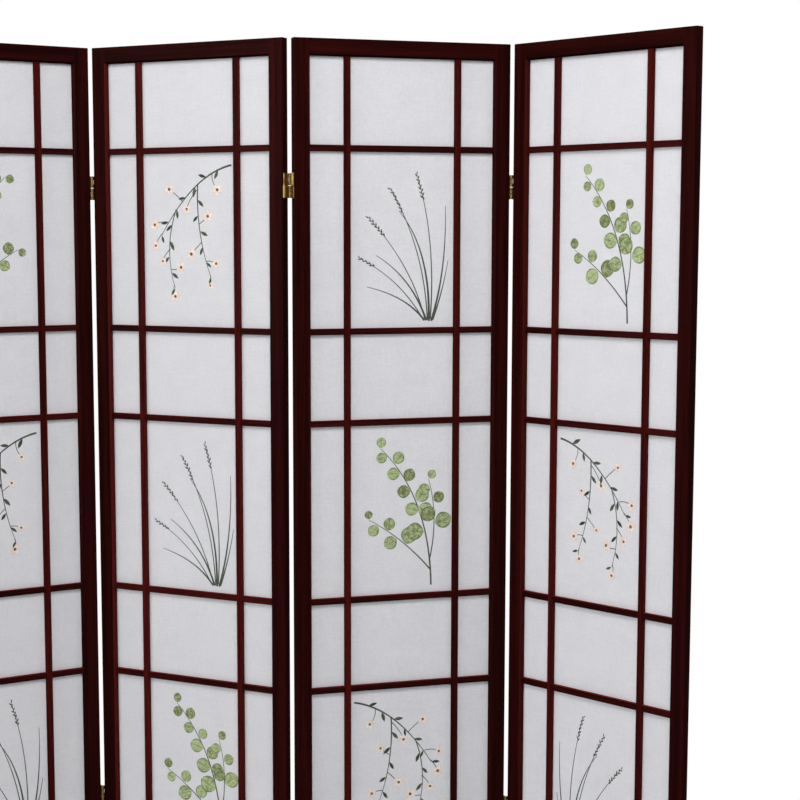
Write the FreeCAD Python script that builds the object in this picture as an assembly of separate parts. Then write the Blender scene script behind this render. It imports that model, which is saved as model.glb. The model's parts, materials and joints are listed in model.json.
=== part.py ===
import FreeCAD, Part
import math
import os

# A folding screen: four framed lattice panels, each with a translucent sheet behind
# its lattice, joined edge to edge by pairs of two-way hinges. Millimetres, +Z up.
# The viewer stands on the -Y side, and panel 1 is the leftmost one.
#
# Each panel is made in its own frame: x runs from its left edge to its right edge,
# y from its front face to its back face, z up from the floor.

# Panel frame
panel_width = 432.0
panel_height = 1784.0
panel_thickness = 19.0
stile_width = 32.0
rail_height = 32.0
outer_arris = 2.5
end_arris = 1.2
opening_bevel_width = 3.0
opening_bevel_depth = 3.5
rail_tenon_length = 20.0
rail_tenon_depth = (4.0, 10.5)
rail_tenon_margin = 6.0

# Lattice: two upright and six cross muntins, half-lapped where they cross
muntin_width = 12.0
muntin_depth = 8.0
muntin_setback = 3.5
muntin_arris = 0.7
centre_opening = 209.0
short_opening = 163.0
cross_muntin_count = 6
muntin_tenon_length = 6.0
muntin_tenon_margin = 2.0
muntin_tenon_depth = (5.5, 10.0)

# Sheet behind the lattice, held in a rebate by beads
rebate_width = 8.0
sheet_thickness = 0.5
sheet_edge_gap = 1.0
bead_depth = 5.5
brad_radius = 0.6
brad_head_radius = 1.0
brad_head_height = 0.5
brad_length = 16.0
stile_brad_count = 5
rail_brad_count = 2

# Two-way hinges
panel_gap = 6.0
hinge_height = 46.0
lower_hinge_middle = 278.0
upper_hinge_middle = 1513.0
leaf_thickness = 1.2
leaf_margin = 2.0
pin_radius = 1.5
pin_outside_face = 0.8
knuckle_clearance = 0.3
bore_clearance = 0.05
half_gap = 0.5
link_lift = 0.3
link_margin = 2.2
screw_shank_radius = 1.3
screw_head_radius = 2.6
screw_length = 14.0
screw_slot_width = 0.7
screw_slot_depth = 0.6
screw_slot_length = 3.4

# Plan of the opened screen: each panel's turn about +Z, and the face on the side of
# which each neighbouring pair folds
panel_turn = (32.5, -27.8, 17.7, -47.1)
fold_face = ("front", "back", "front")

# Worked-out values
panel_count = len(panel_turn)
side_opening = (panel_width - 2 * stile_width - 2 * muntin_width - centre_opening) / 2
tall_opening = (
    panel_height - 2 * rail_height - cross_muntin_count * muntin_width - 4 * short_opening
) / 3
muntin_back = muntin_setback + muntin_depth
lap_depth = muntin_setback + muntin_depth / 2
rebate_top = panel_height - rail_height + rebate_width
rebate_bottom = rail_height - rebate_width
bead_front = muntin_back + sheet_thickness
bead_back = bead_front + bead_depth
half_panel_gap = panel_gap / 2
knuckle_radius = pin_radius + leaf_thickness
half_height = hinge_height / 2 - half_gap
knuckle_height = (half_height - 2 * knuckle_clearance) / 3
pin_line = {"front": -pin_outside_face, "back": panel_thickness + pin_outside_face}
hinge_heights = (lower_hinge_middle, upper_hinge_middle)


def block(x, y, z):
    """Box between two values along each axis, given in either order."""
    low = FreeCAD.Vector(min(x), min(y), min(z))
    high = FreeCAD.Vector(max(x), max(y), max(z))
    size = high - low
    return Part.makeBox(size.x, size.y, size.z, low)


def rod(radius, length, foot, direction):
    """Round rod from its foot along a direction."""
    return Part.makeCylinder(radius, length, FreeCAD.Vector(*foot), FreeCAD.Vector(*direction))


def long_edges(solid, axis, length, **at):
    """Straight edges of one length along an axis that lie at the given coordinates."""
    found = []
    for edge in solid.Edges:
        box = edge.BoundBox
        extent = {"x": box.XLength, "y": box.YLength, "z": box.ZLength}
        centre = {"x": box.Center.x, "y": box.Center.y, "z": box.Center.z}
        if abs(extent[axis] - length) > 0.01:
            continue
        if all(abs(centre[name] - value) < 0.01 for name, value in at.items()):
            found.append(edge)
    return found


def joined(solids):
    """One solid made of touching ones, without the seams between them."""
    return solids[0].fuse(solids[1:]).removeSplitter()


# Lattice positions


def cross_muntin_levels():
    """Lower side of each cross muntin, from the bottom of the panel up."""
    levels = []
    level = rail_height
    for number in range(cross_muntin_count):
        level += tall_opening if number % 2 else short_opening
        levels.append(level)
        level += muntin_width
    return levels


def upright_muntin_sides():
    """Left side of the left and of the right upright muntin."""
    left = stile_width + side_opening
    return (left, left + muntin_width + centre_opening)


# Panel frame


def rail_tenon(outer, inward, rail_bottom):
    """Tenon of a rail in the stile whose outer edge is at outer."""
    shoulder = outer + inward * stile_width
    return block(
        (shoulder - inward * rail_tenon_length, shoulder),
        rail_tenon_depth,
        (rail_bottom + rail_tenon_margin, rail_bottom + rail_height - rail_tenon_margin),
    )


def cross_muntin_tenon(outer, inward, level):
    """Tenon of a cross muntin in the stile whose outer edge is at outer."""
    shoulder = outer + inward * stile_width
    return block(
        (shoulder - inward * muntin_tenon_length, shoulder),
        muntin_tenon_depth,
        (level + muntin_tenon_margin, level + muntin_width - muntin_tenon_margin),
    )


def upright_muntin_tenon(side, shoulder, outward):
    """Tenon of an upright muntin in a rail whose inner edge is at shoulder."""
    return block(
        (side + muntin_tenon_margin, side + muntin_width - muntin_tenon_margin),
        muntin_tenon_depth,
        (shoulder, shoulder + outward * muntin_tenon_length),
    )


def opening_bevel():
    """Tapered block that bevels the front inner edges of the frame, mitred at its corners."""
    left = stile_width
    right = panel_width - stile_width
    bottom = rail_height
    top = panel_height - rail_height
    wide = opening_bevel_width
    front = (left - wide, right + wide, bottom - wide, top + wide)
    return Part.makeWedge(
        front[0], 0, front[2], bottom, left, front[1], opening_bevel_depth, front[3], top, right
    )


def stile(outer, inward):
    """Full-height post, bevelled and rebated along its inner edge and mortised there."""
    inner = outer + inward * stile_width
    post = block((outer, inner), (0, panel_thickness), (0, panel_height))
    post = post.makeFillet(outer_arris, long_edges(post, "z", panel_height, x=outer))
    ends = [edge for edge in post.Edges if edge.BoundBox.ZLength < 0.01]
    post = post.makeFillet(end_arris, ends)
    cuts = [
        opening_bevel(),
        block(
            (inner - inward * rebate_width, inner),
            (muntin_back, panel_thickness),
            (rebate_bottom, rebate_top),
        ),
    ]
    for rail_bottom in (0, panel_height - rail_height):
        cuts.append(rail_tenon(outer, inward, rail_bottom))
    for level in cross_muntin_levels():
        cuts.append(cross_muntin_tenon(outer, inward, level))
    return post.cut(cuts)


def rail(bottom, inner, outward):
    """Cross rail between the stiles; inner is the level of the edge towards the lattice."""
    length = panel_width - 2 * stile_width
    outer = inner + outward * rail_height
    bar = block((stile_width, stile_width + length), (0, panel_thickness), (inner, outer))
    bar = bar.makeFillet(end_arris, long_edges(bar, "x", length, z=outer))
    rebate = block(
        (stile_width, stile_width + length),
        (muntin_back, panel_thickness),
        (inner, inner + outward * rebate_width),
    )
    mortises = [upright_muntin_tenon(side, inner, outward) for side in upright_muntin_sides()]
    tenons = [rail_tenon(0, 1, bottom), rail_tenon(panel_width, -1, bottom)]
    return joined([bar.cut([opening_bevel(), rebate] + mortises)] + tenons)


def upright_muntin(side):
    """Lattice bar between the rails, notched from behind for the cross muntins."""
    bottom = rail_height
    top = panel_height - rail_height
    bar = block((side, side + muntin_width), (muntin_setback, muntin_back), (bottom, top))
    bar = bar.makeFillet(muntin_arris, long_edges(bar, "z", top - bottom, y=muntin_setback))
    notches = []
    for level in cross_muntin_levels():
        notches.append(
            block(
                (side, side + muntin_width),
                (lap_depth, muntin_back),
                (level, level + muntin_width),
            )
        )
    tenons = [upright_muntin_tenon(side, bottom, -1), upright_muntin_tenon(side, top, 1)]
    return joined([bar.cut(notches)] + tenons)


def cross_muntin(level):
    """Lattice bar between the stiles, notched from the front for the upright muntins."""
    left = stile_width
    right = panel_width - stile_width
    bar = block((left, right), (muntin_setback, muntin_back), (level, level + muntin_width))
    bar = bar.makeFillet(muntin_arris, long_edges(bar, "x", right - left, y=muntin_setback))
    notches = []
    for side in upright_muntin_sides():
        notches.append(
            block(
                (side, side + muntin_width),
                (muntin_setback, lap_depth),
                (level, level + muntin_width),
            )
        )
    tenons = [cross_muntin_tenon(0, 1, level), cross_muntin_tenon(panel_width, -1, level)]
    return joined([bar.cut(notches)] + tenons)


# Sheet, beads and brads


def sheet():
    """Flat sheet against the back of the lattice, reaching into the rebates."""
    reach = rebate_width - sheet_edge_gap
    return block(
        (stile_width - reach, panel_width - stile_width + reach),
        (muntin_back, bead_front),
        (rail_height - reach, panel_height - rail_height + reach),
    )


def bead_strips():
    """Left, right, bottom and top strip that hold the sheet in the rebates."""
    inner_x = (stile_width, panel_width - stile_width)
    inner_z = (rail_height, panel_height - rail_height)
    depth = (bead_front, bead_back)
    full = (rebate_bottom, rebate_top)
    return [
        block((inner_x[0] - rebate_width, inner_x[0]), depth, full),
        block((inner_x[1], inner_x[1] + rebate_width), depth, full),
        block(inner_x, depth, (rebate_bottom, inner_z[0])),
        block(inner_x, depth, (inner_z[1], rebate_top)),
    ]


def brad(foot, direction):
    """Headed nail, its head flush with the bead's inner side."""
    shank = rod(brad_radius, brad_length, foot, direction)
    head = rod(brad_head_radius, brad_head_height, foot, direction)
    return joined([shank, head])


def spread(low, high, count):
    """Evenly spaced places between two values, half a step in from each end."""
    step = (high - low) / count
    return [low + step * (number + 0.5) for number in range(count)]


def brads():
    """Brads through each bead into its stile or rail, parallel to the sheet."""
    depth = (bead_front + bead_back) / 2
    left = stile_width
    right = panel_width - stile_width
    nails = []
    for level in spread(rebate_bottom, rebate_top, stile_brad_count):
        nails.append(brad((left, depth, level), (-1, 0, 0)))
        nails.append(brad((right, depth, level), (1, 0, 0)))
    for place in spread(left, right, rail_brad_count):
        nails.append(brad((place, depth, rail_height), (0, 0, -1)))
        nails.append(brad((place, depth, panel_height - rail_height), (0, 0, 1)))
    return nails


# Two-way hinges. On a panel's edge, a is the distance out from the edge. A leaf of the
# left panel has its back knuckles in the hinge's upper half and its front ones in the
# lower half; a leaf of the right panel has them the other way round. A link joins the
# two pin lines of one half.


def half_bottom(middle, half):
    """Level of the bottom of a hinge's upper or lower half."""
    if half == "upper":
        return middle + half_gap
    return middle - half_gap - half_height


def knuckle_bottoms(middle, half):
    """Levels of the bottoms of the three knuckles that share a half."""
    bottom = half_bottom(middle, half)
    step = knuckle_height + knuckle_clearance
    return [bottom + step * number for number in range(3)]


def towards_middle(face, distance):
    """Depth that lies a distance inwards from the front or the back face."""
    if face == "front":
        return distance
    return panel_thickness - distance


def strip(edge, outward, outline, bottom, height):
    """Upright plate with an outline of (a, y) points on a panel's edge."""
    points = [FreeCAD.Vector(edge + outward * a, y, bottom) for a, y in outline]
    face = Part.Face(Part.makePolygon(points + points[:1]))
    return face.extrude(FreeCAD.Vector(0, 0, height))


def knuckle_place(edge, outward, face):
    """Plan position of a pin line off a panel's edge."""
    return (edge + outward * half_panel_gap, pin_line[face])


def pin_rod(edge, outward, face, bottom, height, radius):
    """Round rod on a pin line."""
    place = knuckle_place(edge, outward, face)
    return rod(radius, height, (place[0], place[1], bottom), (0, 0, 1))


def leaf_knuckle(edge, outward, face, bottom):
    """Knuckle of a leaf, with the bent web that leads to it from the plate."""
    side = half_panel_gap - knuckle_radius
    web = [
        (0, towards_middle(face, 2 * leaf_margin)),
        (0, towards_middle(face, leaf_margin)),
        (side, pin_line[face]),
        (side + leaf_thickness, pin_line[face]),
        (leaf_thickness, towards_middle(face, 2 * leaf_margin)),
    ]
    barrel = pin_rod(edge, outward, face, bottom, knuckle_height, knuckle_radius)
    return [strip(edge, outward, web, bottom, knuckle_height), barrel]


def leaf(edge, outward, upper_face, lower_face, middle):
    """Plate on a stile's edge, with two knuckles in each half of the hinge."""
    bottom = middle - hinge_height / 2
    plate = [
        (0, leaf_margin),
        (leaf_thickness, leaf_margin),
        (leaf_thickness, panel_thickness - leaf_margin),
        (0, panel_thickness - leaf_margin),
    ]
    pieces = [strip(edge, outward, plate, bottom, hinge_height)]
    bores = []
    for half, face in (("upper", upper_face), ("lower", lower_face)):
        levels = knuckle_bottoms(middle, half)
        for level in (levels[0], levels[2]):
            pieces += leaf_knuckle(edge, outward, face, level)
        start = half_bottom(middle, half)
        bores.append(pin_rod(edge, outward, face, start, half_height, pin_radius))
    holes = [screw_blank(edge, outward, level) for level in screw_levels(middle)]
    return joined(pieces).cut(bores + holes)


def link(edge, outward, half, middle):
    """Plate over a leaf, with one knuckle on the front and one on the back pin line."""
    bottom = half_bottom(middle, half)
    level = knuckle_bottoms(middle, half)[1]
    inner = leaf_thickness + link_lift
    outer = inner + leaf_thickness
    plate = [
        (inner, link_margin),
        (outer, link_margin),
        (outer, panel_thickness - link_margin),
        (inner, panel_thickness - link_margin),
    ]
    pieces = [strip(edge, outward, plate, bottom, half_height)]
    bores = []
    for face in ("front", "back"):
        web = [
            (inner, towards_middle(face, 2 * link_margin)),
            (inner, pin_line[face]),
            (outer, pin_line[face]),
            (outer, towards_middle(face, 2 * link_margin)),
        ]
        pieces.append(strip(edge, outward, web, level, knuckle_height))
        pieces.append(pin_rod(edge, outward, face, level, knuckle_height, knuckle_radius))
        bore = pin_radius + bore_clearance
        bores.append(pin_rod(edge, outward, face, bottom, half_height, bore))
    return joined(pieces).cut(bores)


def leaf_pins(edge, outward, upper_face, lower_face, middle):
    """The two pins that are pressed into a leaf's knuckles."""
    pins = []
    for half, face in (("upper", upper_face), ("lower", lower_face)):
        start = half_bottom(middle, half)
        pins.append(pin_rod(edge, outward, face, start, half_height, pin_radius))
    return pins


def screw_levels(middle):
    """Height of each screw of a leaf: one in the middle of each half."""
    return [half_bottom(middle, half) + half_height / 2 for half in ("upper", "lower")]


def screw_blank(edge, outward, level):
    """Countersunk wood screw without its slots, its head flush with the leaf."""
    surface = FreeCAD.Vector(edge + outward * leaf_thickness, panel_thickness / 2, level)
    inwards = FreeCAD.Vector(-outward, 0, 0)
    head = Part.makeCone(screw_head_radius, screw_shank_radius, leaf_thickness, surface, inwards)
    shank = Part.makeCylinder(screw_shank_radius, screw_length, surface, inwards)
    return joined([head, shank])


def screw(edge, outward, level):
    """Countersunk wood screw with a cross slot."""
    surface = edge + outward * leaf_thickness
    depth = (surface - outward * screw_slot_depth, surface)
    middle = panel_thickness / 2
    narrow = screw_slot_width / 2
    wide = screw_slot_length / 2
    slots = []
    for across, up in ((narrow, wide), (wide, narrow)):
        slots.append(block(depth, (middle - across, middle + across), (level - up, level + up)))
    return screw_blank(edge, outward, level).cut(slots)


# Panels


def hinge_edges(number):
    """Edges of a panel that carry leaves: (edge, outward, upper face, lower face)."""
    edges = []
    if number < panel_count - 1:
        edges.append((panel_width, 1, "back", "front"))
    if number > 0:
        edges.append((0, -1, "front", "back"))
    return edges


def panel_pieces(number):
    """Every piece of one panel but its hinge leaves and links, by name."""
    edges = hinge_edges(number)
    nails = brads()
    pins = []
    screws = []
    holes = []
    for edge, outward, upper_face, lower_face in edges:
        for middle in hinge_heights:
            pins += leaf_pins(edge, outward, upper_face, lower_face, middle)
            for level in screw_levels(middle):
                screws.append(screw(edge, outward, level))
                holes.append(screw_blank(edge, outward, level))
    sides = upright_muntin_sides()
    upper_rail = panel_height - rail_height
    return {
        "left_stile": [stile(0, 1).cut(nails + holes)],
        "right_stile": [stile(panel_width, -1).cut(nails + holes)],
        "bottom_rail": [rail(0, rail_height, -1).cut(nails)],
        "top_rail": [rail(upper_rail, upper_rail, 1).cut(nails)],
        "left_upright_muntin": [upright_muntin(sides[0])],
        "right_upright_muntin": [upright_muntin(sides[1])],
        "cross_muntins": [cross_muntin(level) for level in cross_muntin_levels()],
        "sheet": [sheet()],
        "back_beads": [bead.cut(nails) for bead in bead_strips()],
        "bead_brads": nails,
        "hinge_pins": pins,
        "hinge_screws": screws,
    }


def hinge_pieces(fold):
    """Leaves and links between two neighbours: name to (panel number, solids)."""
    left_edge = (panel_width, 1)
    right_edge = (0, -1)
    on_left = (fold, left_edge)
    on_right = (fold + 1, right_edge)
    if fold_face[fold] == "front":
        upper_carrier, lower_carrier = on_left, on_right
    else:
        upper_carrier, lower_carrier = on_right, on_left
    pieces = {
        "left_leaves": (fold, [leaf(*left_edge, "back", "front", z) for z in hinge_heights]),
        "right_leaves": (fold + 1, [leaf(*right_edge, "front", "back", z) for z in hinge_heights]),
    }
    for half, (carrier, edge) in (("upper", upper_carrier), ("lower", lower_carrier)):
        pieces[half + "_links"] = (carrier, [link(*edge, half, z) for z in hinge_heights])
    return pieces


# Plan


def turned(point, degrees):
    """Plan point turned about the origin."""
    angle = math.radians(degrees)
    x = point[0] * math.cos(angle) - point[1] * math.sin(angle)
    y = point[0] * math.sin(angle) + point[1] * math.cos(angle)
    return (x, y)


def panel_places():
    """Left-front corner of each panel and the pin line of each fold, in plan."""
    corners = [(0.0, 0.0)]
    pins = []
    for fold, face in enumerate(fold_face):
        depth = pin_line[face]
        out = turned((panel_width + half_panel_gap, depth), panel_turn[fold])
        pin = (corners[-1][0] + out[0], corners[-1][1] + out[1])
        back = turned((-half_panel_gap, depth), panel_turn[fold + 1])
        corners.append((pin[0] - back[0], pin[1] - back[1]))
        pins.append(pin)
    return corners, pins


def placed(solids, corner, degrees):
    """Copy of a panel's solids at its place in the opened screen."""
    shape = Part.makeCompound(solids)
    shape.rotate(FreeCAD.Vector(0, 0, 0), FreeCAD.Vector(0, 0, 1), degrees)
    shape.translate(FreeCAD.Vector(corner[0], corner[1], 0))
    return shape


def build():
    """Every sub-part of the opened screen, centred over the origin."""
    corners, pins = panel_places()
    shapes = {}
    for number in range(panel_count):
        for name, solids in panel_pieces(number).items():
            node = "panel_{}_{}".format(number + 1, name)
            shapes[node] = placed(solids, corners[number], panel_turn[number])
    for fold in range(len(fold_face)):
        for name, (carrier, solids) in hinge_pieces(fold).items():
            node = "hinge_{}_{}_{}".format(fold + 1, fold + 2, name)
            shapes[node] = placed(solids, corners[carrier], panel_turn[carrier])
    box = Part.makeCompound(list(shapes.values())).optimalBoundingBox(False, False)
    centre = FreeCAD.Vector(box.Center.x, box.Center.y, 0)
    for shape in shapes.values():
        shape.translate(-centre)
    print("box", round(box.XLength, 3), round(box.YLength, 3), round(box.ZLength, 3))
    for fold, pin in enumerate(pins):
        print("pin line", fold + 1, round(pin[0] - centre.x, 4), round(pin[1] - centre.y, 4))
    for number, corner in enumerate(corners):
        print("corner", number + 1, round(corner[0] - centre.x, 4), round(corner[1] - centre.y, 4))
    return shapes


os.makedirs("parts", exist_ok=True)
for node, shape in build().items():
    shape.exportStep("parts/" + node + ".step")
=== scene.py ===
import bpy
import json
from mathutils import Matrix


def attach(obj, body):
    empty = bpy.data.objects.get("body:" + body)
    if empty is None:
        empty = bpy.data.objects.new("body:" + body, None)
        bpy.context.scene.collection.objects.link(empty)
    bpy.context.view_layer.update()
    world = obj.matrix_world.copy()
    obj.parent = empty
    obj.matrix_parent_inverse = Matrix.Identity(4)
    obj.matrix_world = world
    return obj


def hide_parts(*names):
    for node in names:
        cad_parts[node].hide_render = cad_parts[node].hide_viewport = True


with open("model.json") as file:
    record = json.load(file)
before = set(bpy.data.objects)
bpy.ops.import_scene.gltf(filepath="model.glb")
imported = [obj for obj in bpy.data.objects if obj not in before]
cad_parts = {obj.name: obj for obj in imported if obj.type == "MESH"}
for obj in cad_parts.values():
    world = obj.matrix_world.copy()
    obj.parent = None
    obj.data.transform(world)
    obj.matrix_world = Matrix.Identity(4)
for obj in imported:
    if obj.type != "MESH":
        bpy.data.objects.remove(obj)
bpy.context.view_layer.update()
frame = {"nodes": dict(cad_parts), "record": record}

import json
import math
import random

import bpy
from mathutils import Matrix, Vector

# Sizes of the screen in metres. In a panel's own axes x runs along it from its left edge,
# y runs back from its front face, and z runs up from the floor.
panel_turns = (32.5, -27.8, 17.7, -47.1)
panel_numbers = (1, 2, 3, 4)
panel_width = 0.432
panel_depth = 0.019
stile_width = 0.032
rail_height = 0.032
muntin_width = 0.012
side_cell = 0.0675
short_cell = 0.163
tall_cell = 0.332

# The pale sheets behind the lattice. Each is held held_inset outside the opening's upright sides.
sheet_width = 0.382
sheet_height = 1.734
sheet_foot = 0.025
sheet_middle = 0.01175
sheet_thickness = 0.0003
sheet_columns = 65
sheet_rows = 289
sheet_slack = 0.0007
held_inset = 0.004

# How far the paint lies off its sheet, and how thick and how many its coats are
paint_clear = 0.00012
paint_coat = 0.000012
coat_count = 8

panel_middle_x = panel_width / 2
lattice_x = (
    stile_width - held_inset,
    stile_width + side_cell + muntin_width / 2,
    panel_width - stile_width - side_cell - muntin_width / 2,
    panel_width - stile_width + held_inset,
)


def cross_levels():
    """Lower sides of the six cross muntins, from the floor up."""
    levels = []
    height = rail_height
    for number in range(6):
        height += tall_cell if number % 2 else short_cell
        levels.append(height)
        height += muntin_width
    return levels


cross_foot = cross_levels()
lattice_z = [sheet_foot] + [z + muntin_width / 2 for z in cross_foot] + [sheet_foot + sheet_height]
tall_cell_feet = [cross_foot[k] + muntin_width for k in (0, 2, 4)]


def panel_place(number):
    """Takes a point from a panel's own axes to the frame."""
    base = next(m for m in frame["record"]["mounts"] if m["name"] == f"panel_{number}_base")
    turn = math.radians(panel_turns[number - 1])
    return (
        Matrix.Translation(Vector(base["pos_m"]))
        @ Matrix.Rotation(turn, 4, "Z")
        @ Matrix.Translation((-panel_middle_x, -panel_depth / 2, 0.0))
    )


# A sheet and its painting are laid out flat: x along the panel, y up it, z out of its front.
flat_to_panel = Matrix(((1, 0, 0, 0), (0, 0, -1, sheet_middle), (0, 1, 0, 0), (0, 0, 0, 1)))


class Socket:
    """One output of a node. Arithmetic on it adds Math nodes to its tree."""

    def __init__(self, maker, output):
        self.maker = maker
        self.output = output

    def __getitem__(self, name):
        return Socket(self.maker, self.output.node.outputs[name])

    def math(self, operation, *values):
        return self.maker.node("ShaderNodeMath", {"operation": operation}, dict(enumerate(values)))

    def __add__(self, other):
        return self.math("ADD", self, other)

    def __radd__(self, other):
        return self.math("ADD", other, self)

    def __sub__(self, other):
        return self.math("SUBTRACT", self, other)

    def __rsub__(self, other):
        return self.math("SUBTRACT", other, self)

    def __mul__(self, other):
        return self.math("MULTIPLY", self, other)

    def __rmul__(self, other):
        return self.math("MULTIPLY", other, self)

    def __truediv__(self, other):
        return self.math("DIVIDE", self, other)

    def __pow__(self, other):
        return self.math("POWER", self, other)

    def __mod__(self, other):
        return self.math("MODULO", self, other)

    def __gt__(self, other):
        return self.math("GREATER_THAN", self, other)

    def __lt__(self, other):
        return self.math("LESS_THAN", self, other)

    def __abs__(self):
        return self.math("ABSOLUTE", self)

    def least(self, other):
        return self.math("MINIMUM", self, other)

    def most(self, other):
        return self.math("MAXIMUM", self, other)

    def sine(self):
        return self.math("SINE", self)

    def ramp(self, start, end):
        """0 below start, 1 above end, and a smooth rise between them."""
        return self.maker.node(
            "ShaderNodeMapRange",
            {"interpolation_type": "SMOOTHSTEP"},
            {"Value": self, "From Min": start, "From Max": end, "To Min": 0.0, "To Max": 1.0},
        )


class Maker:
    """Adds nodes to one tree."""

    def __init__(self, tree):
        self.tree = tree

    def node(self, kind, settings=None, inputs=None):
        """Adds a node, sets it up, fills its inputs and gives its first output."""
        made = self.tree.nodes.new(kind)
        for name, value in (settings or {}).items():
            setattr(made, name, value)
        for name, value in (inputs or {}).items():
            if isinstance(name, str):
                socket = next(s for s in made.inputs if s.enabled and s.name == name)
            else:
                socket = made.inputs[name]
            for one in value if isinstance(value, list) else [value]:
                if isinstance(one, Socket):
                    self.tree.links.new(one.output, socket)
                else:
                    socket.default_value = one
        return Socket(self, next((o for o in made.outputs if o.enabled), None))

    def noise(self, vector, scale, detail=2.0, roughness=0.5):
        """Noise from about 0.2 to 0.8, at so many features a metre."""
        return self.node(
            "ShaderNodeTexNoise",
            {"noise_dimensions": "3D"},
            {"Vector": vector, "Scale": scale, "Detail": detail, "Roughness": roughness},
        )

    def mix(self, factor, first, second):
        """A colour between two colours."""
        return self.node(
            "ShaderNodeMix",
            {"data_type": "RGBA"},
            {"Factor": factor, "A": first, "B": second},
        )

    def stretched(self, vector, scale):
        """A vector times a scale along each axis."""
        return self.node("ShaderNodeVectorMath", {"operation": "MULTIPLY"}, {0: vector, 1: scale})


def rgb(red, green, blue):
    return (red, green, blue, 1.0)


def shaded(colour, share):
    """A colour times a share."""
    return rgb(*(part * share for part in colour[:3]))


def new_finish(name):
    """A bare material, the maker of its nodes and its output node."""
    material = bpy.data.materials.new(name)
    material.use_nodes = True
    material.node_tree.nodes.clear()
    make = Maker(material.node_tree)
    output = material.node_tree.nodes.new("ShaderNodeOutputMaterial")
    return material, make, output


def panel_axes(make, number):
    """Object coordinates turned so that x runs along a panel."""
    turn = math.radians(panel_turns[number - 1])
    place = make.node("ShaderNodeTexCoord")["Object"]
    return make.node(
        "ShaderNodeMapping", {"vector_type": "POINT"},
        {"Vector": place, "Rotation": (0.0, 0.0, -turn)},
    )


def facing(make, direction):
    """How squarely a surface faces a direction of the object's own, from -1 to 1."""
    normal = make.node("ShaderNodeTexCoord")["Normal"]
    return make.node(
        "ShaderNodeVectorMath", {"operation": "DOT_PRODUCT"}, {0: normal, 1: direction})["Value"]


def bump(make, strength, distance, height):
    """A normal that follows a height."""
    return make.node(
        "ShaderNodeBump", None, {"Strength": strength, "Distance": distance, "Height": height})


def finish_surface(make, output, shader_inputs):
    """Adds the principled shader and joins it to the output."""
    shader = make.node("ShaderNodeBsdfPrincipled", None, shader_inputs)
    make.tree.links.new(shader.output, output.inputs["Surface"])


# The middle of the noise and of the weave's height, and how high a surface's relief is
noise_middle = 0.5
weave_middle = 0.6
relief = 0.0002

# Wood: how fine its streaks, bands and pores are in features a metre across the grain, how short
# that pattern is beside its length along the grain, and how strongly each one shows.
streak_fineness = 430.0
band_fineness = 75.0
pore_fineness = 1500.0
grain_shortening = 0.016
pore_shortening = 0.03
streak_contrast = 1.35
band_contrast = 1.25
middling_stain = 0.5
pore_limits = (0.60, 0.70)
pore_share = 0.5
pore_stain = rgb(0.005, 0.0014, 0.0013)
streak_height = 0.5
pore_depth = 0.8
lacquer_roughness = 0.33
streak_roughness = 0.3
pore_roughness = 0.12

# Painted light and shade in the stain: the bars' sides that face towards the last panel are painted
# a lighter red, by a share of each panel's own, standing in for light from that side. The tops of
# the cross muntins are painted a lighter red, standing in for light from above, and the undersides
# are painted darker, as painted shade.
painted_side_light = rgb(0.085, 0.0095, 0.0085)
side_light_share = {1: 0.6, 2: 0.85, 3: 0.6, 4: 0.4}
side_light_limits = (0.45, 0.85)
painted_top_light = rgb(0.17, 0.016, 0.013)
top_light_share = 0.85
painted_under_shade = rgb(0.005, 0.0012, 0.0011)
under_shade_share = 0.75
level_limits = (0.35, 0.75)
up = (0.0, 0.0, 1.0)
down = (0.0, 0.0, -1.0)


def along_grain(upright, shortening):
    """A scale that draws a pattern out along the grain."""
    return (1.0, 1.0, shortening) if upright else (shortening, 1.0, 1.0)


def wood_finish(name, number, upright, tone, stains, side_light, top_light):
    """Dark red-brown stain on straight-grained wood, under satin lacquer."""
    material, make, output = new_finish(name)
    axes = panel_axes(make, number)
    grain = make.stretched(axes, along_grain(upright, grain_shortening))
    streak = make.noise(grain, streak_fineness, detail=1.0, roughness=0.6) - noise_middle
    band = make.noise(grain, band_fineness, detail=0.0) - noise_middle
    pore_grain = make.stretched(axes, along_grain(upright, pore_shortening))
    pores = make.noise(pore_grain, pore_fineness, detail=0.0).ramp(*pore_limits)
    paleness = streak * streak_contrast + band * band_contrast + (middling_stain + tone)
    stain = make.mix(paleness.ramp(0.0, 1.0), *stains)
    turn = math.radians(panel_turns[number - 1])
    # Painted light: sides facing towards the last panel are painted a lighter red, as if lit from
    # that side.
    side_lit = facing(make, (math.cos(turn), math.sin(turn), 0.0)).ramp(*side_light_limits)
    stain = make.mix(side_lit * side_light, stain, painted_side_light)
    # Painted light: the tops of the cross muntins are painted a lighter red, as if lit from above.
    top_lit = facing(make, up).ramp(*level_limits)
    stain = make.mix(top_lit * top_light, stain, painted_top_light)
    # Painted shade: the undersides are painted darker.
    under_shaded = facing(make, down).ramp(*level_limits)
    stain = make.mix(under_shaded * under_shade_share, stain, painted_under_shade)
    finish_surface(make, output, {
        "Base Color": make.mix(pores * pore_share, stain, pore_stain),
        "Roughness": lacquer_roughness + streak * streak_roughness + pores * pore_roughness,
        "Specular IOR Level": 0.0,
        "Coat Weight": 0.02,
        "Coat Roughness": 0.3,
        "Normal": bump(make, 0.35, relief, streak * streak_height - pores * pore_depth),
    })
    return material


# Sheets: their threads, and their clouds and fibres in features a metre
thread_pitch = 0.0011
thread_height = 0.25
slub_fineness = 900.0
slub_shortening = 0.05
slub_height = 0.6
cloud_fineness = 22.0
fibre_fineness = 230.0
cloud_contrast = 0.5
fibre_contrast = 1.0
weave_contrast = 0.9
middling_shade = 0.5
sheet_roughness = 0.85
weave_roughness = 0.1
shadowed_sheet = rgb(0.755, 0.754, 0.780)
pale_sheet = rgb(0.832, 0.831, 0.850)
share_let_through = 0.28


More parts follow.
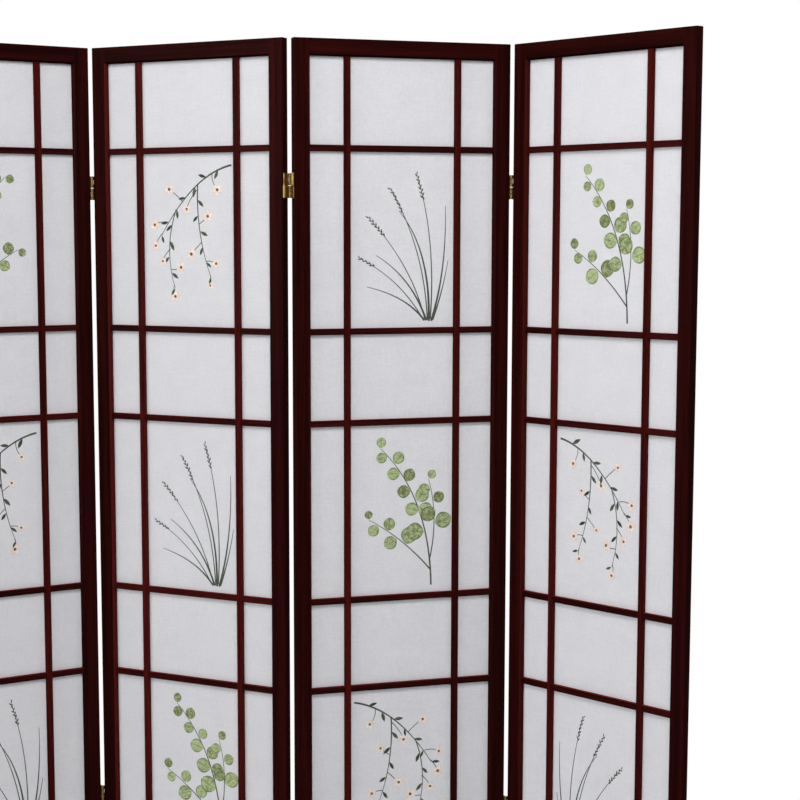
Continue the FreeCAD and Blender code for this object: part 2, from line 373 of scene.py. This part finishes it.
def weave_height(make, axes):
    """Height of a plain weave with uneven threads."""
    turns = 2 * math.pi / thread_pitch
    parts = make.node("ShaderNodeSeparateXYZ", None, {"Vector": axes})
    threads = (parts["X"] * turns).sine() * (parts["Z"] * turns).sine()
    height = threads * thread_height
    for upright in (False, True):
        lines = make.stretched(axes, along_grain(upright, slub_shortening))
        height = height + make.noise(lines, slub_fineness, detail=0.0) * slub_height
    return height


def sheet_finish(name, number, paleness):
    """Matt off-white sheet with a fine weave, which lets some light through."""
    material, make, output = new_finish(name)
    axes = panel_axes(make, number)
    weave = weave_height(make, axes)
    cloud = make.noise(axes, cloud_fineness, detail=1.0, roughness=0.55) - noise_middle
    fibre = make.noise(axes, fibre_fineness, detail=1.0, roughness=0.6) - noise_middle
    shade = cloud * cloud_contrast + fibre * fibre_contrast
    shade = shade + (weave - weave_middle) * weave_contrast + middling_shade
    # The share given in paleness is painted light and shade over the whole sheet.
    darkest, palest = (shaded(colour, paleness) for colour in (shadowed_sheet, pale_sheet))
    colour = make.mix(shade.ramp(0.0, 1.0), darkest, palest)
    normal = bump(make, 0.25, relief, weave)
    shader = make.node("ShaderNodeBsdfPrincipled", None, {
        "Base Color": colour,
        "Roughness": sheet_roughness + (weave - weave_middle) * weave_roughness,
        "Specular IOR Level": 0.2,
        "Normal": normal,
    })
    glow = make.node("ShaderNodeBsdfTranslucent", None, {"Color": colour, "Normal": normal})
    both = make.node("ShaderNodeMixShader", None, {0: share_let_through, 1: shader, 2: glow})
    make.tree.links.new(both.output, output.inputs["Surface"])
    return material


# Paint: its washes and dots in features a metre, and how dark its rims and dots are beside the
# deeper colour. A rim runs along both sides of a stroke or leaf and along its middle vein.
wash_fineness = 130.0
wash_contrast = 2.4
shade_contrast = 0.55
least_depth = 0.15
paint_roughness = 0.8
dot_fineness = 520.0
dot_limits = (0.52, 0.62)
rim_limits = (0.70, 0.95)
vein_limits = (0.02, 0.10)
vein_share = 0.7
rim_darkness = 0.7
dot_darkness = 0.35
palest_dots = 0.35


def paint_attribute(make, name):
    return make.node("ShaderNodeAttribute", {"attribute_name": name})["Fac"]


def paint_finish(name, number, pale, deep, speckle, rim):
    """Washed paint on the sheet: pale and deep patches, a darker rim and fine speckle."""
    material, make, output = new_finish(name)
    axes = panel_axes(make, number)
    weave = weave_height(make, axes)
    wash = make.noise(axes, wash_fineness, detail=3.0, roughness=0.6) - noise_middle
    dots = make.noise(axes, dot_fineness).ramp(*dot_limits)
    across = abs(paint_attribute(make, "across"))
    shade = paint_attribute(make, "shade")
    depth = wash * wash_contrast + shade * shade_contrast + least_depth
    colour = make.mix(depth.ramp(0.0, 1.0), pale, deep)
    edge = across.ramp(*rim_limits) + (1.0 - across.ramp(*vein_limits)) * vein_share
    colour = make.mix(edge * rim, colour, shaded(deep, rim_darkness))
    dotted = dots * speckle * (palest_dots + shade * (1.0 - palest_dots))
    colour = make.mix(dotted, colour, shaded(deep, dot_darkness))
    finish_surface(make, output, {
        "Base Color": colour,
        "Roughness": paint_roughness + (weave - weave_middle) * weave_roughness,
        "Specular IOR Level": 0.2,
        "Normal": bump(make, 0.25, relief, weave),
    })
    return material


# Metal: its tarnish and its brushed lines in features a metre
tarnish_fineness = 260.0
tarnish_contrast = 2.6
middling_tarnish = 0.45
tarnish_roughness = 0.18
brushed_fineness = 2600.0
brushed_shortening = 0.06
brushed_roughness = 0.2


def metal_finish(name, bright, dull, roughness):
    """Plated metal, a little tarnished in patches and finely brushed upwards."""
    material, make, output = new_finish(name)
    place = make.node("ShaderNodeTexCoord")["Object"]
    tarnish = make.noise(place, tarnish_fineness, detail=4.0, roughness=0.65) - noise_middle
    lines = make.stretched(place, along_grain(True, brushed_shortening))
    brushed = make.noise(lines, brushed_fineness)
    patches = (tarnish * tarnish_contrast + middling_tarnish).ramp(0.0, 1.0)
    uneven = patches * tarnish_roughness + (brushed - noise_middle) * brushed_roughness
    finish_surface(make, output, {
        "Base Color": make.mix(patches, bright, dull),
        "Metallic": 1.0,
        "Roughness": roughness + uneven,
        "Normal": bump(make, 0.2, relief / 2, brushed),
    })
    return material


def dress(node, material):
    """Gives a carried-over CAD piece its finish."""
    for slot in frame["nodes"][node].material_slots:
        slot.material = material


upright_wood = ("left_stile", "right_stile", "left_upright_muntin", "right_upright_muntin")
level_wood = ("bottom_rail", "top_rail", "cross_muntins", "back_beads")
hinge_parts = ("left_leaves", "right_leaves", "upper_links", "lower_links")
brass = metal_finish("aged_brass", rgb(0.42, 0.29, 0.10), rgb(0.13, 0.085, 0.022), 0.30)
# Painted shade: a darker copy of the brass for the hinges in the two valley folds, standing in for
# their shade.
shaded_brass = metal_finish("shaded_brass", rgb(0.26, 0.17, 0.055), rgb(0.08, 0.05, 0.014), 0.36)
screw_brass = metal_finish("screw_brass", rgb(0.46, 0.34, 0.14), rgb(0.20, 0.13, 0.04), 0.30)
steel = metal_finish("brad_steel", rgb(0.42, 0.42, 0.43), rgb(0.20, 0.19, 0.18), 0.32)

# Darkest and lightest stain of the frame's pieces and of the thinner muntins. The muntins' lighter
# stains are painted light, standing in for the light that the muntins catch.
frame_stains = (rgb(0.0100, 0.0014, 0.0012), rgb(0.0300, 0.0034, 0.0030))
cross_lit_stains = (rgb(0.0150, 0.0022, 0.0020), rgb(0.048, 0.0056, 0.0047))
upright_lit_stains = (rgb(0.0215, 0.0026, 0.0022), rgb(0.074, 0.0068, 0.0054))
muntin_lit_stains = {
    "left_upright_muntin": upright_lit_stains,
    "right_upright_muntin": upright_lit_stains,
    "cross_muntins": cross_lit_stains,
}
tone_reach = 0.15
tone_seed = 53244
tones = random.Random(tone_seed)
for number in panel_numbers:
    for part in upright_wood + level_wood:
        node = f"panel_{number}_{part}"
        dress(node, wood_finish(
            f"{node}_stain", number, part in upright_wood,
            tone=tones.uniform(-tone_reach, tone_reach),
            stains=muntin_lit_stains.get(part, frame_stains),
            side_light=0.0 if part == "right_stile" else side_light_share[number],
            top_light=top_light_share if part == "cross_muntins" else 0.0,
        ))
    dress(f"panel_{number}_hinge_pins", brass)
    dress(f"panel_{number}_hinge_screws", screw_brass)
    dress(f"panel_{number}_bead_brads", steel)
# The darker brass on the first and third hinges is painted shade.
for left, hinge_metal in ((1, shaded_brass), (2, brass), (3, shaded_brass)):
    for part in hinge_parts:
        dress(f"hinge_{left}_{left + 1}_{part}", hinge_metal)


def geometry_tree(name, sizes):
    """A geometry tree with a geometry input, named sizes with usual values, and one output."""
    tree = bpy.data.node_groups.new(name, "GeometryNodeTree")
    tree.interface.new_socket("Geometry", in_out="INPUT", socket_type="NodeSocketGeometry")
    for label, value in sizes.items():
        kind = "NodeSocketInt" if isinstance(value, int) else "NodeSocketFloat"
        tree.interface.new_socket(label, in_out="INPUT", socket_type=kind).default_value = value
    tree.interface.new_socket("Geometry", in_out="OUTPUT", socket_type="NodeSocketGeometry")
    make = Maker(tree)
    return tree, make, make.node("NodeGroupInput")


def raised(make, geometry, height):
    """Geometry moved out of a sheet's front."""
    offset = make.node("ShaderNodeCombineXYZ", None, {"Z": height})
    return make.node("GeometryNodeSetPosition", None, {"Geometry": geometry, "Offset": offset})


def grown(name, base, tree, sizes):
    """The plain mesh that a geometry tree makes from a base mesh."""
    carrier = bpy.data.objects.new(name, base)
    bpy.context.scene.collection.objects.link(carrier)
    modifier = carrier.modifiers.new(tree.name, "NODES")
    modifier.node_group = tree
    for item in tree.interface.items_tree:
        if item.in_out == "INPUT" and item.name in sizes:
            modifier[item.identifier] = sizes[item.name]
    layers = bpy.context.evaluated_depsgraph_get()
    mesh = bpy.data.meshes.new_from_object(
        carrier.evaluated_get(layers), preserve_all_data_layers=True, depsgraph=layers
    )
    carrier.modifiers.remove(modifier)
    bpy.data.objects.remove(carrier)
    return mesh


def new_piece(name, mesh, number):
    """A finished piece on a panel: its place is in its mesh."""
    mesh.transform(panel_place(number) @ flat_to_panel)
    mesh.update()
    piece = bpy.data.objects.new(name, mesh)
    mesh.name = name
    bpy.context.scene.collection.objects.link(piece)
    return piece


# The sheet's slack: how far from a bar it has its full reach, how fine its swells are in features
# a metre, how far apart the panels lie in the noise, and how strongly the noise shows.
slack_rise = 0.035
swell_fineness = 7.0
panel_shift = 1.7
swell_contrast = 3.0


def sheet_lift(make, slack, seed):
    """How far the sheet stands out of its plane: nothing at the lattice, a little in the cells."""
    place = make.node("GeometryNodeInputPosition")
    parts = make.node("ShaderNodeSeparateXYZ", None, {"Vector": place})
    gaps = []
    for axis, lines in (("X", lattice_x), ("Y", lattice_z)):
        nearest = abs(parts[axis] - lines[0])
        for line in lines[1:]:
            nearest = nearest.least(abs(parts[axis] - line))
        gaps.append(nearest.ramp(muntin_width / 2, muntin_width / 2 + slack_rise))
    shift = make.node("ShaderNodeCombineXYZ", None, {"Z": seed * panel_shift})
    shifted = make.node("ShaderNodeVectorMath", {"operation": "ADD"}, {0: place, 1: shift})
    swell = make.noise(shifted, swell_fineness, roughness=0.45) - noise_middle
    return gaps[0] * gaps[1] * swell * swell_contrast * slack


def sheet_tree(material):
    """A sheet stretched over the lattice, laid out flat."""
    tree, make, given = geometry_tree("stretched_sheet", {
        "Sheet Width": sheet_width, "Sheet Height": sheet_height,
        "Columns": sheet_columns, "Rows": sheet_rows, "Slack": sheet_slack, "Seed": 0,
    })
    grid = make.node("GeometryNodeMeshGrid", None, {
        "Size X": given["Sheet Width"], "Size Y": given["Sheet Height"],
        "Vertices X": given["Columns"], "Vertices Y": given["Rows"],
    })
    middle = make.node("ShaderNodeCombineXYZ", None, {
        "X": panel_middle_x, "Y": given["Sheet Height"] * 0.5 + sheet_foot,
    })
    placed = make.node("GeometryNodeSetPosition", None, {"Geometry": grid, "Offset": middle})
    lifted = raised(make, placed, sheet_lift(make, given["Slack"], given["Seed"]))
    smooth = make.node(
        "GeometryNodeSetShadeSmooth", None, {"Geometry": lifted, "Shade Smooth": True})
    real = make.node("GeometryNodeRealizeInstances", None, {"Geometry": smooth})
    done = make.node("GeometryNodeSetMaterial", None, {"Geometry": real, "Material": material})
    make.node("NodeGroupOutput", None, {"Geometry": done})
    return tree


# Painted light and shade on the sheets: the second panel's sheet is painted darker and the fourth
# panel's lighter, standing in for how light falls on the panels.
painted_sheet_light = {1: 1.0, 2: 0.975, 3: 1.0, 4: 1.015}

for number in panel_numbers:
    base = bpy.data.meshes.new("sheet_base")
    weave = sheet_finish(f"panel_{number}_sheet_weave", number, painted_sheet_light[number])
    mesh = grown("sheet_carrier", base, sheet_tree(weave), {"Seed": number})
    piece = new_piece(f"panel_{number}_stretched_sheet", mesh, number)
    wall = piece.modifiers.new("thickness", "SOLIDIFY")
    wall.thickness = sheet_thickness
    wall.offset = 0.0
    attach(piece, f"panel_{number}")
    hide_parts(f"panel_{number}_sheet")


# Painted sprigs, one in each tall cell. Each path is (role, width at the foot, width at the tip,
# foot, bend, tip), in millimetres from the middle of the cell's foot.
BLADE, ROUND_STEM, TWIG, BLOSSOM_STALK, SEED_STALK = 1, 2, 3, 4, 5

grass_tuft = [
    (SEED_STALK, 1.7, 0.7, (-58, 16), (-70, 170), (-30, 290)),
    (SEED_STALK, 1.6, 0.7, (-52, 14), (-46, 150), (22, 262)),
    (SEED_STALK, 1.5, 0.6, (-47, 15), (-20, 120), (66, 208)),
    (BLADE, 2.8, 0.6, (-60, 12), (-92, 110), (-88, 232)),
    (BLADE, 3.0, 0.6, (-55, 12), (-58, 150), (6, 222)),
    (BLADE, 2.6, 0.6, (-50, 13), (-20, 96), (52, 138)),
    (BLADE, 2.4, 0.6, (-46, 13), (-10, 60), (70, 78)),
    (BLADE, 2.2, 0.6, (-63, 14), (-84, 70), (-94, 128)),
    (SEED_STALK, 1.4, 0.6, (-44, 14), (2, 92), (84, 132)),
]

round_leaf_sprigs = [
    (ROUND_STEM, 2.2, 0.7, (62, 14), (58, 190), (-42, 286)),
    (ROUND_STEM, 1.8, 0.6, (60, 45), (4, 110), (-66, 148)),
    (ROUND_STEM, 1.6, 0.6, (59, 66), (78, 150), (56, 224)),
]

blossom_twigs = [
    (TWIG, 2.4, 0.8, (96, 308), (10, 292), (-64, 176)),
    (TWIG, 1.8, 0.6, (20, 274), (14, 180), (48, 96)),
    (TWIG, 1.5, 0.6, (-30, 226), (-60, 150), (-34, 74)),
    (BLOSSOM_STALK, 1.0, 0.8, (53, 293), (50, 278), (64, 262)),
    (BLOSSOM_STALK, 1.0, 0.8, (18, 262), (0, 244), (-6, 226)),
    (BLOSSOM_STALK, 1.0, 0.8, (-15, 240), (-34, 258), (-46, 264)),
    (BLOSSOM_STALK, 1.0, 0.8, (-50, 200), (-68, 204), (-80, 196)),
    (BLOSSOM_STALK, 1.0, 0.8, (-62, 180), (-74, 168), (-78, 156)),
    (BLOSSOM_STALK, 1.0, 0.8, (22, 197), (34, 204), (42, 212)),
    (BLOSSOM_STALK, 1.0, 0.8, (28, 163), (14, 150), (4, 140)),
    (BLOSSOM_STALK, 1.0, 0.8, (37, 126), (50, 128), (60, 122)),
    (BLOSSOM_STALK, 1.0, 0.8, (46, 100), (50, 90), (46, 80)),
    (BLOSSOM_STALK, 1.0, 0.8, (-44, 150), (-58, 138), (-62, 126)),
    (BLOSSOM_STALK, 1.0, 0.8, (-42, 110), (-28, 108), (-20, 114)),
    (BLOSSOM_STALK, 1.0, 0.8, (-36, 80), (-40, 68), (-34, 58)),
]

# The motif in the lower, middle and upper tall cell of each panel
panel_motifs = {
    1: (grass_tuft, blossom_twigs, round_leaf_sprigs),
    2: (round_leaf_sprigs, grass_tuft, blossom_twigs),
    3: (blossom_twigs, round_leaf_sprigs, grass_tuft),
    4: (grass_tuft, blossom_twigs, round_leaf_sprigs),
}
path_steps = 28
ink_weight = 1.6
millimetre = 0.001


def painted_paths(number):
    """The paths of a panel's painted sprigs as chains of edges, laid out flat."""
    points, edges, roles, widths, alongs = [], [], [], [], []
    for cell, motif in enumerate(panel_motifs[number]):
        flip = -1.0 if (number + cell) % 2 else 1.0
        foot_y = tall_cell_feet[cell]
        for role, foot_width, tip_width, foot, bend, tip in motif:
            start = len(points)
            for step in range(path_steps + 1):
                t = step / path_steps
                weights = ((1 - t) ** 2, 2 * t * (1 - t), t ** 2)
                x, y = (
                    millimetre * sum(w * p[axis] for w, p in zip(weights, (foot, bend, tip)))
                    for axis in (0, 1)
                )
                points.append((panel_middle_x + flip * x, foot_y + y, 0.0))
                roles.append(float(role))
                width = foot_width + (tip_width - foot_width) * t
                widths.append(width * ink_weight * millimetre)
                alongs.append(t)
                if step:
                    edges.append((start + step - 1, start + step))
    mesh = bpy.data.meshes.new("painted_paths")
    mesh.from_pydata(points, edges, [])
    for name, values in (("role", roles), ("ink_width", widths), ("along", alongs)):
        mesh.attributes.new(name, "FLOAT", "POINT").data.foreach_set("value", values)
    return mesh


def read(make, name):
    return make.node("GeometryNodeInputNamedAttribute", {"data_type": "FLOAT"}, {"Name": name})


def stored(make, geometry, name, value, domain="POINT"):
    return make.node(
        "GeometryNodeStoreNamedAttribute", {"data_type": "FLOAT", "domain": domain},
        {"Geometry": geometry, "Name": name, "Value": value},
    )


def chance(make, low, high, seed):
    return make.node(
        "FunctionNodeRandomValue", {"data_type": "FLOAT"}, {"Min": low, "Max": high, "Seed": seed})


def leaf_shape(make, width, bluntness, stalk):
    """A flat leaf or petal 1 long, growing along y, whose sides follow a power of a sine."""
    grid = make.node("GeometryNodeMeshGrid", None, {
        "Size X": 1.0, "Size Y": 1.0, "Vertices X": 5, "Vertices Y": 13})
    place = make.node("GeometryNodeInputPosition")
    parts = make.node("ShaderNodeSeparateXYZ", None, {"Vector": place})
    up = (parts["Y"] + 0.5).most(0.0).least(1.0)
    marked = stored(make, grid, "across", parts["X"] * 2.0)
    half = (up * math.pi).sine().most(0.0) ** bluntness
    shaped = make.node("ShaderNodeCombineXYZ", None, {
        "X": parts["X"] * half * width, "Y": up + stalk})
    return make.node("GeometryNodeSetPosition", None, {"Geometry": marked, "Position": shaped})


def chosen(make, curves, role):
    """The paths of one role."""
    given = read(make, "role")
    return make.node(
        "GeometryNodeSeparateGeometry", {"domain": "POINT"},
        {"Geometry": curves, "Selection": (given > role - 0.5) * (given < role + 0.5)},
    )


# How far chance turns a leaf and a petal in radians, and what it makes of their size
leaf_twist = 0.22
leaf_sizes = (0.84, 1.12)
petal_twist = 0.12
blossom_sizes = (0.8, 1.15)


def leafy(make, curves, leaf, material, spacing, size, angle, first, taper, seed):
    """Leaves on both sides of the paths in turn, from first up to the tip, in thin coats."""
    points = make.node(
        "GeometryNodeCurveToPoints", {"mode": "LENGTH"}, {"Curve": curves, "Length": spacing})
    tangent = make.node("ShaderNodeSeparateXYZ", None, {"Vector": points["Tangent"]})
    heading = tangent["Y"].math("ARCTAN2", tangent["Y"], tangent["X"]) - math.pi / 2
    index = make.node("GeometryNodeInputIndex")
    points = raised(make, points, (index % coat_count + 1.0) * paint_coat)
    side = (index % 2) * 2.0 - 1.0
    turn = heading + side * angle + chance(make, -leaf_twist, leaf_twist, seed)
    along = read(make, "along")
    scale = size * (1.0 - along * taper) * chance(make, *leaf_sizes, seed + 1)
    placed = make.node("GeometryNodeInstanceOnPoints", None, {
        "Points": points, "Selection": along > first, "Instance": leaf,
        "Rotation": make.node("ShaderNodeCombineXYZ", None, {"Z": turn}),
        "Scale": make.node("ShaderNodeCombineXYZ", None, {"X": scale, "Y": scale, "Z": scale}),
    })
    toned = stored(make, placed, "shade", chance(make, 0.0, 1.0, seed + 2), "INSTANCE")
    return make.node("GeometryNodeSetMaterial", None, {"Geometry": toned, "Material": material})


# A blossom is drawn with petals 1 long and scaled afterwards, its heights too.
full_turn = 6.28
petal_count = 5
petal_step = 0.001
lowest_petal = 0.002
eye_radius = 0.30
eye_height = 0.010


def blossoms(make, curves, petal_paint, centre_paint, size, seed):
    """A five-petal blossom on the tip of each stalk."""
    five = make.node("GeometryNodePoints", None, {"Count": petal_count})
    index = make.node("GeometryNodeInputIndex")
    five = raised(make, five, index * petal_step + lowest_petal)
    turn = index * (2 * math.pi / petal_count) + chance(make, -petal_twist, petal_twist, seed)
    petals = make.node("GeometryNodeInstanceOnPoints", None, {
        "Points": five, "Instance": leaf_shape(make, width=0.86, bluntness=0.62, stalk=0.10),
        "Rotation": make.node("ShaderNodeCombineXYZ", None, {"Z": turn}),
    })
    petals = stored(make, petals, "shade", chance(make, 0.0, 1.0, seed + 1), "INSTANCE")
    petals = make.node(
        "GeometryNodeSetMaterial", None, {"Geometry": petals, "Material": petal_paint})
    eye = make.node(
        "GeometryNodeMeshCircle", {"fill_type": "NGON"}, {"Vertices": 10, "Radius": eye_radius})
    eye = raised(make, eye, eye_height)
    eye = make.node("GeometryNodeSetMaterial", None, {"Geometry": eye, "Material": centre_paint})
    flower = make.node("GeometryNodeJoinGeometry", None, {"Geometry": [petals, eye]})
    whole = make.node("GeometryNodeGeometryToInstance", None, {"Geometry": flower})
    tips = make.node("GeometryNodeCurveEndpointSelection", None, {"Start Size": 0, "End Size": 1})
    scale = size * chance(make, *blossom_sizes, seed + 2)
    return make.node("GeometryNodeInstanceOnPoints", None, {
        "Points": curves, "Selection": tips, "Instance": whole,
        "Rotation": make.node(
            "ShaderNodeCombineXYZ", None, {"Z": chance(make, 0.0, full_turn, seed + 3)}),
        "Scale": make.node("ShaderNodeCombineXYZ", None, {"X": scale, "Y": scale, "Z": scale}),
    })


# Each panel has so many random seeds of its own, and each kind of growth takes up to four.
seeds_a_panel = 20


def sprig_tree(name, paints):
    """Ribbons along the painted paths, with their leaves, seeds and blossoms, laid on the sheet."""
    tree, make, given = geometry_tree(name, {
        "Round Leaf": 0.041, "Small Leaf": 0.021, "Seed Grain": 0.011, "Petal": 0.0098,
        "Slack": sheet_slack, "Seed": 0,
    })
    curves = make.node("GeometryNodeMeshToCurve", None, {"Mesh": given["Geometry"]})
    curves = make.node("GeometryNodeSetCurveNormal", {"mode": "Z_UP"}, {"Curve": curves})
    nib = make.node("GeometryNodeCurvePrimitiveLine", None, {
        "Start": (-0.5, 0.0, 0.0), "End": (0.5, 0.0, 0.0)})
    lines = make.node("GeometryNodeCurveToMesh", None, {
        "Curve": curves, "Profile Curve": nib, "Scale": read(make, "ink_width")})
    lines = make.node(
        "GeometryNodeSetMaterial", None, {"Geometry": lines, "Material": paints["ink"]})
    seed = given["Seed"] * seeds_a_panel
    round_leaf = leaf_shape(make, width=0.92, bluntness=0.62, stalk=0.08)
    slim_leaf = leaf_shape(make, width=0.34, bluntness=1.0, stalk=0.05)
    grain = leaf_shape(make, width=0.30, bluntness=0.9, stalk=0.0)
    grown_parts = [
        lines,
        leafy(make, chosen(make, curves, ROUND_STEM), round_leaf, paints["leaf"],
              spacing=0.021, size=given["Round Leaf"], angle=1.05, first=0.30, taper=0.50,
              seed=seed),
        leafy(make, chosen(make, curves, TWIG), slim_leaf, paints["dark_leaf"],
              spacing=0.030, size=given["Small Leaf"], angle=0.75, first=0.08, taper=0.25,
              seed=seed + 4),
        leafy(make, chosen(make, curves, SEED_STALK), grain, paints["dark_leaf"],
              spacing=0.0042, size=given["Seed Grain"], angle=0.42, first=0.80, taper=0.30,
              seed=seed + 8),
        blossoms(make, chosen(make, curves, BLOSSOM_STALK), paints["petal"], paints["eye"],
                 size=given["Petal"], seed=seed + 12),
    ]
    joined = make.node("GeometryNodeJoinGeometry", None, {"Geometry": grown_parts})
    real = make.node("GeometryNodeRealizeInstances", None, {"Geometry": joined})
    lift = sheet_lift(make, given["Slack"], given["Seed"]) + paint_clear + sheet_thickness / 2
    make.node("NodeGroupOutput", None, {"Geometry": raised(make, real, lift)})
    return tree


def face_front(mesh):
    """Turns every flat painted face towards the front of the sheet."""
    backwards = [face for face in mesh.polygons if face.normal.z < 0]
    for face in backwards:
        face.flip()
    mesh.update()


# Each paint: its name, its pale and deep colours, and the strength of its speckle and its rim
paint_colours = {
    "ink": ("ink", rgb(0.075, 0.09, 0.07), rgb(0.02, 0.026, 0.02), 0.2, 0.0),
    "leaf": ("leaf_green", rgb(0.45, 0.54, 0.28), rgb(0.16, 0.19, 0.075), 0.8, 0.8),
    "dark_leaf": ("leaf_dark", rgb(0.085, 0.11, 0.065), rgb(0.025, 0.035, 0.022), 0.4, 0.3),
    "petal": ("petal", rgb(0.90, 0.80, 0.755), rgb(0.84, 0.66, 0.575), 0.1, 0.75),
    "eye": ("eye", rgb(0.16, 0.12, 0.05), rgb(0.06, 0.05, 0.025), 0.6, 0.0),
}
for number in panel_numbers:
    paints = {
        use: paint_finish(f"{name}_{number}", number, pale, deep, speckle, rim)
        for use, (name, pale, deep, speckle, rim) in paint_colours.items()
    }
    tree = sprig_tree(f"painted_sprigs_{number}", paints)
    mesh = grown("sprig_carrier", painted_paths(number), tree, {"Seed": number})
    face_front(mesh)
    piece = new_piece(f"panel_{number}_painted_sprigs", mesh, number)
    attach(piece, f"panel_{number}")


white = rgb(1.0, 1.0, 1.0)


def seen_directly(make):
    """1 where the camera, a reflection or a view through something sees the background."""
    ray = make.node("ShaderNodeLightPath")
    return ray["Is Camera Ray"].most(ray["Is Glossy Ray"]).most(ray["Is Transmission Ray"])


# The floor: how much wider than deep its shaded patch is, where it runs out into white, how much
# its grey is lifted, and how fine its specks are in features a metre
patch_stretch = 1.35
patch_limits = (0.72, 0.98)
floor_lift = 0.22
speck_fineness = 90.0
floor_reach = 30.0
floor_level = -0.0002


def floor_finish():
    """Pale floor that keeps the object's shadow and runs out into the white background."""
    material, make, output = new_finish("studio_floor")
    place = make.node("ShaderNodeTexCoord")["Object"]
    parts = make.node("ShaderNodeSeparateXYZ", None, {"Vector": place})
    far = ((parts["X"] / patch_stretch) ** 2 + parts["Y"] ** 2) ** 0.5
    speck = make.noise(place, speck_fineness, 0.0)
    lit = make.node("ShaderNodeBsdfPrincipled", None, {
        "Base Color": make.mix(speck, rgb(0.80, 0.80, 0.80), rgb(0.84, 0.84, 0.84)),
        "Roughness": 0.7,
    })
    seen = seen_directly(make)
    lift = make.node("ShaderNodeEmission", None, {"Color": white, "Strength": seen * floor_lift})
    near = make.node("ShaderNodeAddShader", None, {0: lit, 1: lift})
    backdrop = make.node("ShaderNodeEmission", None, {"Color": white, "Strength": 1.0})
    both = make.node(
        "ShaderNodeMixShader", None, {0: far.ramp(*patch_limits) * seen, 1: near, 2: backdrop})
    make.tree.links.new(both.output, output.inputs["Surface"])
    return material


floor_mesh = bpy.data.meshes.new("studio_floor")
floor_corners = [
    (x * floor_reach, y * floor_reach, floor_level)
    for x, y in ((-1, -1), (1, -1), (1, 1), (-1, 1))
]
floor_mesh.from_pydata(floor_corners, [], [(0, 1, 2, 3)])
floor_mesh.materials.append(floor_finish())
floor = bpy.data.objects.new("studio_floor", floor_mesh)
bpy.context.scene.collection.objects.link(floor)


def softbox(name, place, aim, width, height, power):
    """A rectangular lamp at place, turned to aim."""
    light = bpy.data.lights.new(name, "AREA")
    light.shape = "RECTANGLE"
    light.size = width
    light.size_y = height
    light.energy = power
    lamp = bpy.data.objects.new(name, light)
    lamp.location = place
    lamp.rotation_euler = (Vector(aim) - Vector(place)).to_track_quat("-Z", "Y").to_euler()
    bpy.context.scene.collection.objects.link(lamp)


softbox("front_softbox", place=(0.2, -2.4, 3.0), aim=(0.0, 0.0, 1.3),
        width=1.6, height=1.4, power=67.0)
softbox("left_softbox", place=(-3.2, -2.1, 1.9), aim=(0.3, 0.0, 1.2),
        width=2.0, height=2.0, power=44.0)
softbox("back_softbox", place=(1.6, 2.4, 1.2), aim=(0.2, 0.0, 1.0),
        width=1.4, height=1.0, power=14.0)

world = bpy.data.worlds.new("studio")
bpy.context.scene.world = world
world.use_nodes = True
world.node_tree.nodes.clear()
sky = Maker(world.node_tree)
ambient = 0.2
sky_strength = ambient + seen_directly(sky) * (1.0 - ambient)
sky_light = sky.node("ShaderNodeBackground", None, {"Color": white, "Strength": sky_strength})
sky.node("ShaderNodeOutputWorld", None, {"Surface": sky_light})

# The camera stands where the photograph was taken from
camera_place = (0.1605, -3.4846, 1.4179)
camera_pitch_down = 6.875
camera = bpy.data.cameras.new("camera")
camera.sensor_width = 36.0
camera.lens = 82.88
camera.shift_x = 0.0441
camera.shift_y = 0.0736
camera_object = bpy.data.objects.new("camera", camera)
camera_object.location = camera_place
camera_object.rotation_euler = (math.radians(90.0 - camera_pitch_down), 0.0, 0.0)
bpy.context.scene.collection.objects.link(camera_object)
bpy.context.scene.camera = camera_object
bpy.context.scene.view_settings.view_transform = "Standard"
